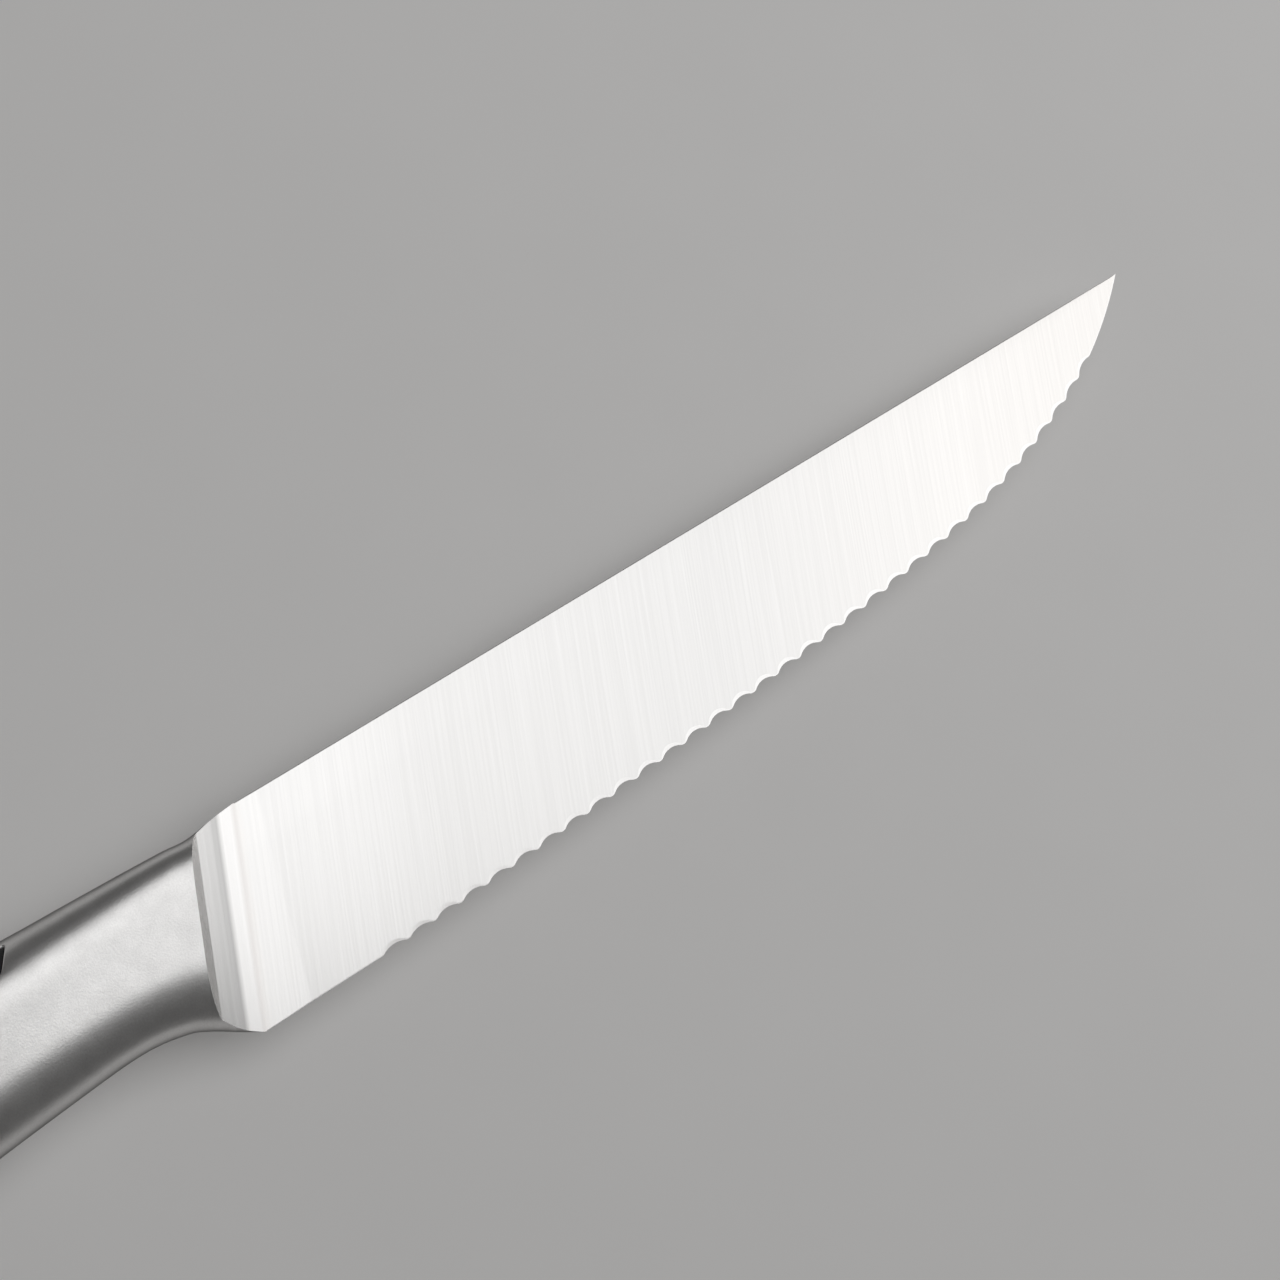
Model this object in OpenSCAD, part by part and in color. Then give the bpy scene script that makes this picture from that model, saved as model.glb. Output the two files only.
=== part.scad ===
// Steak knife with a scalloped blade: a ground steel blade with its bolster and tang in one piece,
// a hollow handle of two welded steel shells, and black grip strips let into the handle's shoulders.
// The knife lies on its side: +X to the point, +Y to the spine, +Z out of its right side.

/* [Blade] */
// Length of the spine, from the bolster to the point
blade_length = 120.4; // [100:0.1:150]
// Height of the blade at its heel
blade_height = 21.2; // [18:0.1:25]
// Thickness of the spine at the bolster
spine_thickness = 2.2; // [1.6:0.1:3]
// Thickness of the spine at the point
tip_thickness = 0.9; // [0.6:0.1:1.4]
// Thickness above the bevel at the heel
edge_thickness = 1.2; // [0.9:0.1:1.4]

/* [Cutting edge] */
// Length of plain edge from the heel to the first tooth
heel_plain = 13.8; // [6:0.1:20]
// Least length of plain edge left at the point
tip_plain = 10; // [6:0.1:20]
// Distance from tooth to tooth
scallop_pitch = 3.3; // [2.4:0.1:5]
// Depth of a scallop
scallop_depth = 0.51; // [0.3:0.01:0.8]
// Width of the crest left on a tooth
crest_width = 0.5; // [0.2:0.01:0.6]
// Width of the fine bevel on the right side of the edge
front_bevel_width = 0.18; // [0.1:0.01:0.4]
// Depth of the fine bevel on the right side of the edge
front_bevel_depth = 0.07; // [0.04:0.01:0.15]
// Angle of the main bevel, ground from the left side
back_bevel_angle = 33; // [25:1:45]

/* [Bolster] */
// Angle at which the grinding lines and the bolster lean back
grind_rake = 23; // [10:1:30]
// Thickness of the bolster
bolster_thickness = 11.2; // [9:0.1:13]
// Width of the hollow ground from the bolster down to the blade
plunge_width = 7.5; // [5:0.1:9]
// How far that hollow runs on past the heel
plunge_lead = 2.3; // [1:0.1:3]
// Width of the tang
tang_width = 8; // [5:0.1:10]
// Thickness of the tang
tang_thickness = 3; // [2:0.1:4]
// Length of the tang behind the bolster
tang_length = 38; // [20:1:50]

/* [Handle] */
// Length of the handle, from the end of the spine to the butt
handle_length = 117; // [100:0.5:130]
// Depth of the handle behind the bolster
handle_depth = 17; // [14:0.1:20]
// Greatest thickness of the handle
handle_thickness = 13.6; // [12:0.1:16]
// Wall of the steel shells
shell_wall = 1; // [0.7:0.1:1.4]
// Length of the spigot that locates the shells on the bolster
spigot_length = 2; // [1:0.1:3]

/* [Grip strips] */
// Depth of the groove pressed for a strip
groove_depth = 0.7; // [0.4:0.1:1]
// How far a strip lies below the steel around it
strip_recess = 0.12; // [0:0.01:0.2]
// Gap left for adhesive and filling between pieces
fit_gap = 0.05; // [0.02:0.01:0.1]

/* [Hidden] */

// Overrun of every cutting tool past the surface that it cuts
overrun = 1;
// Room round the blade for the blocks that cut its sides
stock = 40;
$fn = 96;

// The cutting edge beyond the first tooth, as shares of the blade's length and height
edge_shares = [
    [0.2, 0.969], [0.357, 0.922], [0.507, 0.862], [0.64, 0.788],
    [0.756, 0.681], [0.855, 0.509], [0.933, 0.295], [1, 0]
];
// Steps drawn between two points of the cutting edge
edge_steps = 12;
// Depth of the scallops from the first to the last, as shares of the full depth
depth_shares = [[0, 0.8], [0.2, 1], [0.6, 1], [0.9, 0.92], [1, 0.8]];
// The ground hollow from the bolster's side to the blade: shares of its width and of its rise
plunge_shares = [
    [-0.127, 1.5], [0, 1], [0.113, 0.556], [0.28, 0.351], [0.46, 0.196],
    [0.639, 0.089], [0.84, 0.027], [1, 0], [1.36, -0.111]
];
// Ribs of the bolster and handle from the heel to the butt. Each rib runs from the spine to the belly:
// place along the spine as a share of handle_length, height of its top as a share of handle_depth,
// depth of its foot as shares of blade_height and handle_depth, thickness as shares of
// bolster_thickness and handle_thickness, squareness on the spine's side and on the belly's, and lean as
// a share of grind_rake
rib_shares = [
    [0, 0, 1, 0, 1, 0, 4.5, 3.5, 1],
    [0.018, -0.012, 0.55, 0.505, 1, 0, 4.5, 2.3, 1],
    [0.051, -0.042, 0, 1.079, 1, 0, 4.3, 2.2, 1],
    [0.0735, -0.029, 0, 1.018, 1, 0, 4, 2.3, 1],
    [0.111, -0.0165, 0, 0.979, 0.8, 0.17, 3.5, 2.5, 1.05],
    [0.162, -0.0035, 0, 1.006, 0.4, 0.52, 3, 2.6, 1.25],
    [0.217, 0.009, 0, 1.059, 0, 0.9, 2.6, 2.6, 1.6],
    [0.316, 0.044, 0, 1.141, 0, 1, 2.3, 2.3, 1.6],
    [0.427, 0.088, 0, 1.171, 0, 1, 2.2, 2.2, 1.3],
    [0.556, 0.112, 0, 1.141, 0, 1, 2.2, 2.2, 0.9],
    [0.684, 0.094, 0, 1.094, 0, 0.99, 2.2, 2.2, 0.5],
    [0.795, 0.035, 0, 1.088, 0, 0.97, 2.2, 2.2, 0.25],
    [0.88, -0.053, 0, 1.129, 0, 0.94, 2.2, 2.2, 0.1],
    [0.94, -0.165, 0, 1.176, 0, 0.89, 2.2, 2.2, 0],
    [0.977, -0.329, 0, 1.153, 0, 0.75, 2.2, 2.2, 0],
    [0.995, -0.541, 0, 1.024, 0, 0.485, 2.2, 2.2, 0],
    [1, -0.706, 0, 0.882, 0, 0.22, 2.2, 2.2, 0]
];
// Rib numbers where the shells meet the bolster, the strips begin and end, and the handle ends
joint_index = 2;
groove_start_index = 6;
groove_end_index = 12;
last_index = len(rib_shares) - 1;
// Rib numbers between which the filler and the weight meet, and how soon the cavity stops
weight_index = 10;
cavity_share = 0.625;
// Rib number of the handle's highest place
crown_index = 9;
// Steepness of a groove's end walls, in ribs, and of its side walls, in degrees round the handle
end_draft_share = 0.012;
side_draft_angle = 1;
// Angles round the section over which the spine and the belly, and the sides, stay flat
crown_angle = 5;
side_flat_angle = 12;
quarter_angle = 90;
// Angles round the section at which the upper strip begins and ends, from the spine
strip_low_angle = 26.2;
strip_high_angle = 56.5;

spine_half = spine_thickness / 2;
tip_half = tip_thickness / 2;
edge_half = edge_thickness / 2;
bolster_half = bolster_thickness / 2;
side_half = max(bolster_thickness, handle_thickness) / 2;
front_bevel_angle = atan(front_bevel_depth / front_bevel_width);
// Half thickness of the steel that the blade is ground from, which the flat of the bolster's spine covers
blank_share = 0.32;
blank_half = blank_share * bolster_half;

// Steps of the section from the spine to the flat of a side, then on to the belly
strip_step = (strip_high_angle - strip_low_angle) / 3;
upper_angles = [
    0, crown_angle, (crown_angle + strip_low_angle) / 2,
    strip_low_angle, strip_low_angle + side_draft_angle, strip_low_angle + strip_step,
    strip_high_angle - strip_step, strip_high_angle - side_draft_angle, strip_high_angle,
    (strip_high_angle + quarter_angle - side_flat_angle) / 2, quarter_angle - side_flat_angle
];
lower_angles = [for (i = [len(upper_angles) - 1 : -1 : 0]) 2 * quarter_angle - upper_angles[i]];
side_angles = concat(upper_angles, lower_angles);
inner_angles = [for (i = [1 : len(side_angles) - 2]) side_angles[i]];
loop_angles = concat(inner_angles, [for (i = [len(inner_angles) - 1 : -1 : 0]) -inner_angles[i]]);

// Stations along the handle, half a rib apart, with two at each end of the grooves
shell_stations = concat(
    [for (u = [joint_index : 0.5 : groove_start_index]) u],
    [groove_start_index + end_draft_share],
    [for (u = [groove_start_index + 0.5 : 0.5 : groove_end_index - 0.5]) u],
    [groove_end_index - end_draft_share],
    [for (u = [groove_end_index : 0.5 : last_index]) u]
);

// Smooth value through the rows of a table, at row number u
function flow(rows, u) =
    let (
        i = min(floor(u), len(rows) - 2),
        t = u - i,
        b = rows[i],
        c = rows[i + 1],
        a = i > 0 ? rows[i - 1] : 3 * b - 3 * c + rows[i + 2],
        d = i + 2 < len(rows) ? rows[i + 2] : 3 * c - 3 * b + a
    )
    b + t / 2 * ((c - a) + t * ((2 * a - 5 * b + 4 * c - d) + t * (3 * b - a - 3 * c + d)));

// Rib at row number u: its top, its foot, its half thickness, its squareness on either side, and its lean.
// The flat sides of the handle are level where the knife lies on them
function rib(u) =
    let (
        r = flow(rib_shares, u),
        half = (r[4] * bolster_thickness + r[5] * handle_thickness) / 2,
        lean = r[8] * grind_rake,
        top = [-r[0] * handle_length, r[1] * handle_depth],
        foot_y = -r[2] * blade_height - r[3] * handle_depth,
        foot = [top.x - (top.y - foot_y) * tan(lean), foot_y]
    )
    [top, foot, min(half, side_half), r[6], r[7], lean];

// Angle measured from the end of a flat, stretched to reach the same quarter turn
function past(angle, flat) = max(0, angle - flat) * quarter_angle / (quarter_angle - flat);

// Angle to the nearer of spine and belly
function from_pole(angle) = min(abs(angle), 2 * quarter_angle - abs(angle));

// Point of a rib's section at an angle from the spine, set in from the surface
function section_point(r, angle, inset) =
    let (
        along = r[1] - r[0],
        length = norm(along),
        a = from_pole(angle),
        above = abs(angle) < quarter_angle,
        square = above ? r[3] : r[4],
        y_share = pow(cos(past(a, crown_angle)), 2 / square) * (above ? 1 : -1),
        z_share = pow(cos(past(quarter_angle - a, side_flat_angle)), 2 / square) * sign(angle),
        place = (r[0] + r[1]) / 2 - along / length * (length / 2 - inset / cos(r[5])) * y_share
    )
    [place.x, place.y, (r[2] - inset) * z_share];

function ring(u, angles, insets) =
    let (r = rib(u))
    [for (j = [0 : len(angles) - 1]) section_point(r, angles[j], insets[j])];

function repeated(value, count) = [for (i = [1 : count]) value];

// True between the sides of a groove, on either half of the handle's section
function across_groove(angle, slack) =
    let (a = from_pole(angle))
    a > strip_low_angle - slack && a < strip_high_angle + slack;

// Insets of the outer surface, which drops into the grooves
function outer_insets(u, angles) =
    let (along_groove = u > groove_start_index && u < groove_end_index)
    [for (a = angles) along_groove && across_groove(a, -side_draft_angle / 2) ? groove_depth : 0];

// Insets of the cavity, or of what lies a gap inside it, which stay clear of the grooves
function inner_insets(u, angles, gap) =
    let (along_groove = u >= groove_start_index && u <= groove_end_index)
    [for (a = angles)
        shell_wall + gap + (along_groove && across_groove(a, side_draft_angle / 2) ? groove_depth : 0)];

// The cavity stops before the butt
function cavity_station(u) = min(u, groove_end_index + (u - groove_end_index) * cavity_share);

function joined(lists) = [for (l = lists) each l];

// Solid through closed rings of points, with flat ends
module skin(rings) {
    n = len(rings[0]);
    m = len(rings);
    sides = [
        for (i = [0 : m - 2])
        for (j = [0 : n - 1])
        let (a = i * n + j, b = i * n + (j + 1) % n)
        each [[a, b, b + n], [a, b + n, a + n]]
    ];
    front = [for (j = [n - 1 : -1 : 0]) j];
    back = [for (j = [0 : n - 1]) (m - 1) * n + j];
    polyhedron(points = joined(rings), faces = concat(sides, [front, back]));
}

// Half shell between an outer and an inner grid of points, open at the front and on its flat side
module shell_skin(outer, inner) {
    n = len(outer[0]);
    m = len(outer);
    k = m * n;
    end = (m - 1) * n;
    last = n - 1;
    walls = [
        for (i = [0 : m - 2])
        for (j = [0 : n - 2])
        let (a = i * n + j, b = a + 1)
        each [
            [a, b, b + n], [a, b + n, a + n],
            [k + a, k + b + n, k + b], [k + a, k + a + n, k + b + n]
        ]
    ];
    seams = [
        for (i = [0 : m - 2])
        let (a = i * n, b = a + last)
        each [
            [a, a + n, k + a + n], [a, k + a + n, k + a],
            [k + b, k + b + n, b + n], [k + b, b + n, b]
        ]
    ];
    mouth = [for (j = [0 : n - 2]) each [[j, k + j, k + j + 1], [j, k + j + 1, j + 1]]];
    butt = [
        [for (j = [0 : last]) end + j],
        [for (j = [last : -1 : 0]) k + end + j],
        [end, end + last, k + end + last, k + end]
    ];
    polyhedron(points = concat(joined(outer), joined(inner)), faces = concat(walls, seams, mouth, butt));
}

// The cutting edge as points, with the distance run along it
heel = rib(0)[1];
edge_rows = concat([[(heel.x + heel_plain) / blade_length, 1]], edge_shares);
edge_points = [
    for (i = [0 : edge_steps * (len(edge_rows) - 1)])
    let (p = flow(edge_rows, i / edge_steps))
    [p.x * blade_length, -p.y * blade_height]
];
edge_runs = [
    for (i = 0, run = 0; i < len(edge_points);
        i = i + 1, run = i < len(edge_points) ? run + norm(edge_points[i] - edge_points[i - 1]) : run)
    run
];
edge_run = edge_runs[len(edge_runs) - 1];
edge_x = [for (i = [0 : len(edge_points) - 1]) [edge_runs[i], edge_points[i].x]];
edge_y = [for (i = [0 : len(edge_points) - 1]) [edge_runs[i], edge_points[i].y]];

// Point of the cutting edge at a distance from the first tooth
function edge_at(run) = [lookup(run, edge_x), lookup(run, edge_y)];

scallop_count = floor((edge_run - tip_plain) / scallop_pitch);
serrated_run = scallop_count * scallop_pitch;
tip_edge = concat(
    [edge_at(serrated_run)],
    [for (i = [0 : len(edge_points) - 1]) if (edge_runs[i] > serrated_run) edge_points[i]]
);
first_tooth = edge_points[0];

// Half thickness of the ground sides, which taper to the point and to the edge
function side_height(p) =
    spine_half
    - (spine_half - tip_half) * p.x / blade_length
    + (spine_half - edge_half) * p.y / blade_height;
function edge_level(p) = side_height(p) - front_bevel_depth;

// Block under one ground side, whose top face is that side
module side_block() {
    fall_x = (spine_half - tip_half) / blade_length;
    fall_y = (spine_half - edge_half) / blade_height;
    roll = atan(fall_y * cos(atan(fall_x)));
    translate([0, 0, spine_half])
        rotate([roll, atan(fall_x), 0])
        translate([-stock, -stock, -stock])
        cube([blade_length + 2 * stock, 2 * stock, stock]);
}

// Space that the grinding leaves: the tapering blade and the hollow up to the bolster
module ground_space() {
    intersection() {
        side_block();
        mirror([0, 0, 1]) side_block();
    }
    right = [
        for (p = plunge_shares)
        [p.x * plunge_width + plunge_lead - plunge_width, spine_half + p.y * (bolster_half - spine_half)]
    ];
    left = [for (i = [len(right) - 1 : -1 : 0]) [right[i].x, -right[i].y]];
    back = [[-stock, -right[0].y], [-stock, right[0].y]];
    rotate([0, 0, -grind_rake])
        rotate([90, 0, 0])
        linear_extrude(height = 2 * stock, center = true)
        polygon(concat(right, left, back));
}

// Tool for one scallop: two cones that meet at the cutting edge
module scallop_tool(depth) {
    chord = (scallop_pitch - crest_width) / 2;
    radius = (chord * chord + depth * depth) / (2 * depth);
    rise = blank_half + overrun;
    drop = 2 * blank_half + overrun;
    translate([0, depth - radius, 0])
        rotate_extrude()
        polygon([
            [0, rise], [radius + rise / tan(front_bevel_angle), rise], [radius, 0],
            [radius + drop / tan(back_bevel_angle), -drop], [0, -drop]
        ]);
}

// Tool for the two bevels along a straight piece of plain edge, which runs a little past its ends
module bevel_tool(from, to) {
    run = to - from;
    size = bolster_thickness;
    translate([from.x, from.y, edge_level(from)])
        rotate([0, atan((side_height(from) - side_height(to)) / norm(run)), atan2(run.y, run.x)]) {
            rotate([front_bevel_angle, 0, 0])
                translate([-front_bevel_width, -size, 0])
                cube([norm(run) + 2 * front_bevel_width, 2 * size, size]);
            rotate([-back_bevel_angle, 0, 0])
                translate([-front_bevel_width, -size, -size])
                cube([norm(run) + 2 * front_bevel_width, 2 * size, size]);
        }
}

module scallops() {
    for (i = [0 : scallop_count - 1]) {
        middle = edge_at((i + 0.5) * scallop_pitch);
        run = edge_at((i + 1) * scallop_pitch) - edge_at(i * scallop_pitch);
        depth = scallop_depth * lookup(i / (scallop_count - 1), depth_shares);
        translate([middle.x, middle.y, edge_level(middle)])
            rotate([0, 0, atan2(run.y, run.x)])
            scallop_tool(depth);
    }
}

module plain_bevels() {
    bevel_tool(heel, first_tooth);
    for (i = [0 : len(tip_edge) - 2]) bevel_tool(tip_edge[i], tip_edge[i + 1]);
}

module tang() {
    joint = rib(joint_index);
    middle = (joint[0] + joint[1]) / 2;
    translate([middle.x - tang_length, middle.y - tang_width / 2, -tang_thickness / 2])
        cube([tang_length, tang_width, tang_thickness]);
}

// Steel that runs through the heel's plane, inside the bolster and the blade
module heel_core() {
    middle = heel / 2;
    translate([middle.x - bolster_half, middle.y - tang_width / 2, -edge_half])
        cube([bolster_thickness, tang_width, edge_thickness]);
}

module spigot() {
    behind = rib(joint_index + 1)[0].x - rib(joint_index)[0].x;
    reach = -spigot_length / behind;
    insets = repeated(shell_wall + fit_gap, len(loop_angles));
    skin([for (u = [joint_index - reach / 8, joint_index + reach]) ring(u, loop_angles, insets)]);
}

module bolster() {
    insets = repeated(0, len(loop_angles));
    skin([for (u = [0 : 0.25 : joint_index]) ring(u, loop_angles, insets)]);
}

module blade() {
    color("gainsboro") {
        intersection() {
            union() {
                difference() {
                    linear_extrude(height = 2 * blank_half, center = true)
                        polygon(concat([[0, 0], heel], edge_points));
                    scallops();
                    plain_bevels();
                }
                bolster();
            }
            ground_space();
        }
        heel_core();
        spigot();
        tang();
    }
}

module handle_shell() {
    color("silver")
        shell_skin(
            [for (u = shell_stations) ring(u, side_angles, outer_insets(u, side_angles))],
            [for (u = shell_stations)
                let (c = cavity_station(u))
                ring(c, side_angles, inner_insets(c, side_angles, 0))]
        );
}

// Black strip in a groove of the right shell, on the upper or lower shoulder
module grip_strip(lower) {
    inner = [
        strip_low_angle + 2 * side_draft_angle, strip_low_angle + strip_step,
        strip_high_angle - strip_step, strip_high_angle - 2 * side_draft_angle
    ];
    angles = lower ? [for (i = [3 : -1 : 0]) 2 * quarter_angle - inner[i]] : inner;
    loop = concat(angles, [for (i = [3 : -1 : 0]) angles[i]]);
    insets = concat(repeated(strip_recess, 4), repeated(groove_depth - fit_gap, 4));
    stations = concat(
        [groove_start_index + 2 * end_draft_share],
        [for (u = [groove_start_index + 0.5 : 0.5 : groove_end_index - 0.5]) u],
        [groove_end_index - 2 * end_draft_share]
    );
    color("#202224")
        skin([for (u = stations) ring(u, loop, insets)]);
}

// Resin that fills the front of the cavity and holds the tang
module handle_filler() {
    stations = [for (u = shell_stations) if (u > joint_index + 1 && u <= weight_index) u];
    joint = rib(joint_index);
    middle = (joint[0] + joint[1]) / 2;
    color("tan")
        difference() {
            skin([for (u = stations) ring(u, loop_angles, inner_insets(u, loop_angles, fit_gap))]);
            translate([
                middle.x - tang_length - fit_gap,
                middle.y - tang_width / 2 - fit_gap,
                -tang_thickness / 2 - fit_gap
            ])
                cube([tang_length + fit_gap, tang_width + 2 * fit_gap, tang_thickness + 2 * fit_gap]);
        }
}

// Steel slug that fills the butt end of the cavity and balances the blade
module balance_weight() {
    stations = concat(
        [weight_index + end_draft_share],
        [for (u = shell_stations) if (u > weight_index && u < last_index - 0.5) cavity_station(u)]
    );
    color("dimgray")
        skin([for (u = stations) ring(u, loop_angles, inner_insets(u, loop_angles, fit_gap))]);
}

// Stands the knife on its right place: middle of its outline, lowest side on the ground
module placed() {
    crown = rib(crown_index)[0].y;
    translate([
        (handle_length - blade_length) / 2,
        (blade_height - crown) / 2,
        handle_thickness / 2
    ])
        children();
}

module mirrored_side() {
    mirror([0, 0, 1]) children();
}

placed() blade();
placed() handle_shell();  // handle_shell_right
placed() mirrored_side() handle_shell();  // handle_shell_left
placed() grip_strip(false);  // grip_strip_upper_right
placed() grip_strip(true);  // grip_strip_lower_right
placed() mirrored_side() grip_strip(false);  // grip_strip_upper_left
placed() mirrored_side() grip_strip(true);  // grip_strip_lower_left
placed() handle_filler();
placed() balance_weight();
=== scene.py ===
import math

import bmesh
import bpy
import numpy as np
from mathutils import Matrix, Vector


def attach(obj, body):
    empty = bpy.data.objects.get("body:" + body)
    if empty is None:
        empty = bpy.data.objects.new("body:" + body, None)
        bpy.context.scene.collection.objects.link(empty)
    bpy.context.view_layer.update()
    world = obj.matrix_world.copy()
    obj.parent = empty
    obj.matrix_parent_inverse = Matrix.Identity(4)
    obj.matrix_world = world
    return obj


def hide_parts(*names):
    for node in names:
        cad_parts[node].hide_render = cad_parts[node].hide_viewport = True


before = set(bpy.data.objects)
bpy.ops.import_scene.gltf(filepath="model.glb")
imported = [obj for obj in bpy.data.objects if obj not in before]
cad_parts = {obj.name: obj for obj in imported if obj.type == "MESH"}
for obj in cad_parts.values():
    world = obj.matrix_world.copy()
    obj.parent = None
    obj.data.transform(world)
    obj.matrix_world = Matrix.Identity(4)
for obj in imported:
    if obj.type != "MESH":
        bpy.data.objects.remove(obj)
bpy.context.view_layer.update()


# Blade, bolster and tang
# One stainless steel forging. Two wheels grind its sides flat and leave a hollow up to the bolster,
# a shaped wheel cuts the scallops from the left side, and the bolster is blasted with the handle.
# The sizes are in millimetres, measured from the end of the spine at the bolster.
BLADE_LENGTH = 120.4
BLADE_HEIGHT = 21.2
SPINE_HALF = 1.1
TIP_HALF = 0.45
EDGE_HALF = 0.6
SPINE_ROUND = 0.1
BOLSTER_HALF = 5.6
PLUNGE_WIDTH = 7.5
PLUNGE_LEAD = 2.3
GRIND_RAKE = math.radians(23)
SCALLOP_PITCH = 3.3
SCALLOP_DEPTH = 0.51
CREST_ROUND = 0.8
HEEL_PLAIN = 13.8
TIP_PLAIN = 10
EDGE_STEPS = 12
FRONT_BEVEL_WIDTH = 0.06
FRONT_BEVEL_DEPTH = 0.0035
FRONT_BEVEL = FRONT_BEVEL_DEPTH / FRONT_BEVEL_WIDTH
BACK_BEVEL = math.tan(math.radians(33))
HANDLE_LENGTH = 117
HANDLE_DEPTH = 17
HANDLE_THICKNESS = 13.6
CROWN_ANGLE = 5
SIDE_FLAT_ANGLE = 12
TANG_WIDTH = 8
TANG_THICKNESS = 3
TANG_LENGTH = 38
SPIGOT_LENGTH = 2
SHELL_WALL = 1
FIT_GAP = 0.05
LINE_ROUND = 0.1
HEEL_FADE = 3
# Places along the spine and heights of the edge's curve, as shares of the blade's length and height
EDGE_SHARES = [
    [0.2, 0.969], [0.357, 0.922], [0.507, 0.862], [0.64, 0.788],
    [0.756, 0.681], [0.855, 0.509], [0.933, 0.295], [1, 0],
]
# Depth of the scallops at shares of their number
DEPTH_SHARES = [[0, 0.8], [0.2, 1], [0.6, 1], [0.9, 0.92], [1, 0.8]]
# Places across the hollow as shares of its width, and its height there as a share of the bolster's
PLUNGE_SHARES = [
    [-0.127, 1.5], [0, 1], [0.113, 0.556], [0.307, 0.328], [0.453, 0.202],
    [0.66, 0.0825], [0.84, 0.027], [1, 0], [1.36, -0.111],
]
# One row a rib, from the heel to the butt: place along the handle, height of the top, depth of the
# foot as shares of the blade's height and the handle's depth, thickness as shares of the bolster's
# and the handle's, squareness on the spine's side and on the belly's, and lean as a share of the
# grinding rake
RIB_SHARES = [
    [0, 0, 1, 0, 1, 0, 4.5, 3.5, 1],
    [0.018, -0.012, 0.55, 0.505, 1, 0, 4.5, 2.3, 1],
    [0.051, -0.042, 0, 1.079, 1, 0, 4.3, 2.2, 1],
    [0.0735, -0.029, 0, 1.018, 1, 0, 4, 2.3, 1],
    [0.111, -0.0165, 0, 0.979, 0.8, 0.17, 3.5, 2.3, 1.05],
    [0.162, -0.0035, 0, 1.006, 0.4, 0.52, 3, 2.2, 1.25],
    [0.217, 0.009, 0, 1.059, 0, 0.9, 2.6, 2.2, 1.6],
    [0.316, 0.044, 0, 1.141, 0, 1, 2.3, 2.3, 1.6],
    [0.427, 0.088, 0, 1.171, 0, 1, 2.2, 2.2, 1.3],
    [0.556, 0.112, 0, 1.141, 0, 1, 2.2, 2.2, 0.9],
    [0.684, 0.094, 0, 1.094, 0, 0.99, 2.2, 2.2, 0.5],
    [0.795, 0.035, 0, 1.088, 0, 0.97, 2.2, 2.2, 0.25],
    [0.88, -0.053, 0, 1.129, 0, 0.94, 2.2, 2.2, 0.1],
    [0.94, -0.165, 0, 1.176, 0, 0.89, 2.2, 2.2, 0],
    [0.977, -0.329, 0, 1.153, 0, 0.75, 2.2, 2.2, 0],
    [0.995, -0.541, 0, 1.024, 0, 0.485, 2.2, 2.2, 0],
    [1, -0.706, 0, 0.882, 0, 0.22, 2.2, 2.2, 0],
]
# The ribs where the shells begin, where the spine's side is highest, and at the butt
JOINT_RIB = 2
CROWN_RIB = 9
BUTT_RIB = len(RIB_SHARES) - 1


def flow(rows, u):
    """Smooth value through the rows of a table, at row number u."""
    rows = np.asarray(rows, float)
    u = np.clip(np.asarray(u, float), 0, len(rows) - 1)
    i = np.minimum(u.astype(int), len(rows) - 2)
    t = (u - i)[..., None]
    ends = np.vstack([3 * rows[0] - 3 * rows[1] + rows[2], rows, 3 * rows[-1] - 3 * rows[-2] + rows[-3]])
    a, b, c, d = (ends[i + k] for k in range(4))
    return b + t / 2 * ((c - a) + t * ((2 * a - 5 * b + 4 * c - d) + t * (3 * b - a - 3 * c + d)))


def ribs(u):
    """Tops, feet, half thicknesses, both squarenesses and leans of the ribs at row numbers u."""
    r = flow(RIB_SHARES, u)
    lean = r[..., 8] * GRIND_RAKE
    top = np.stack([-r[..., 0] * HANDLE_LENGTH, r[..., 1] * HANDLE_DEPTH], -1)
    foot_y = -r[..., 2] * BLADE_HEIGHT - r[..., 3] * HANDLE_DEPTH
    foot = np.stack([top[..., 0] - (top[..., 1] - foot_y) * np.tan(lean), foot_y], -1)
    half = r[..., 4] * BOLSTER_HALF + r[..., 5] * HANDLE_THICKNESS / 2
    return top, foot, np.minimum(half, HANDLE_THICKNESS / 2), r[..., 6:8], lean


def past(angle, flat):
    """Turns the angle past a flat into radians, so that the rest of the quarter is used in full."""
    return np.radians(np.maximum(0, angle - flat) * 90 / (90 - flat))


def section(u, angle, inset=0.0):
    """Points of the handle's surface at row numbers u and angles in degrees from the spine."""
    top, foot, half, squares, lean = ribs(u)
    along = foot - top
    length = np.linalg.norm(along, axis=-1)
    pole = np.minimum(np.abs(angle), 180 - np.abs(angle))
    above = np.abs(angle) < 90
    square = np.where(above, squares[..., 0], squares[..., 1])
    y_share = np.clip(np.cos(past(pole, CROWN_ANGLE)), 0, 1) ** (2 / square) * np.where(above, 1, -1)
    z_share = np.clip(np.cos(past(90 - pole, SIDE_FLAT_ANGLE)), 0, 1) ** (2 / square) * np.sign(angle)
    reach = (length / 2 - inset / np.cos(lean)) * y_share / length
    place = (top + foot) / 2 - along * reach[..., None]
    return np.stack([place[..., 0], place[..., 1], (half - inset) * z_share], -1)


def rake_place(x, y):
    """Distance past the heel's plane, square to the grinding lines."""
    return x * math.cos(GRIND_RAKE) - y * math.sin(GRIND_RAKE)


PLUNGE_AT = [(share - 1) * PLUNGE_WIDTH + PLUNGE_LEAD for share, rise in PLUNGE_SHARES]
PLUNGE_Z = [SPINE_HALF + rise * (BOLSTER_HALF - SPINE_HALF) for share, rise in PLUNGE_SHARES]


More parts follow.
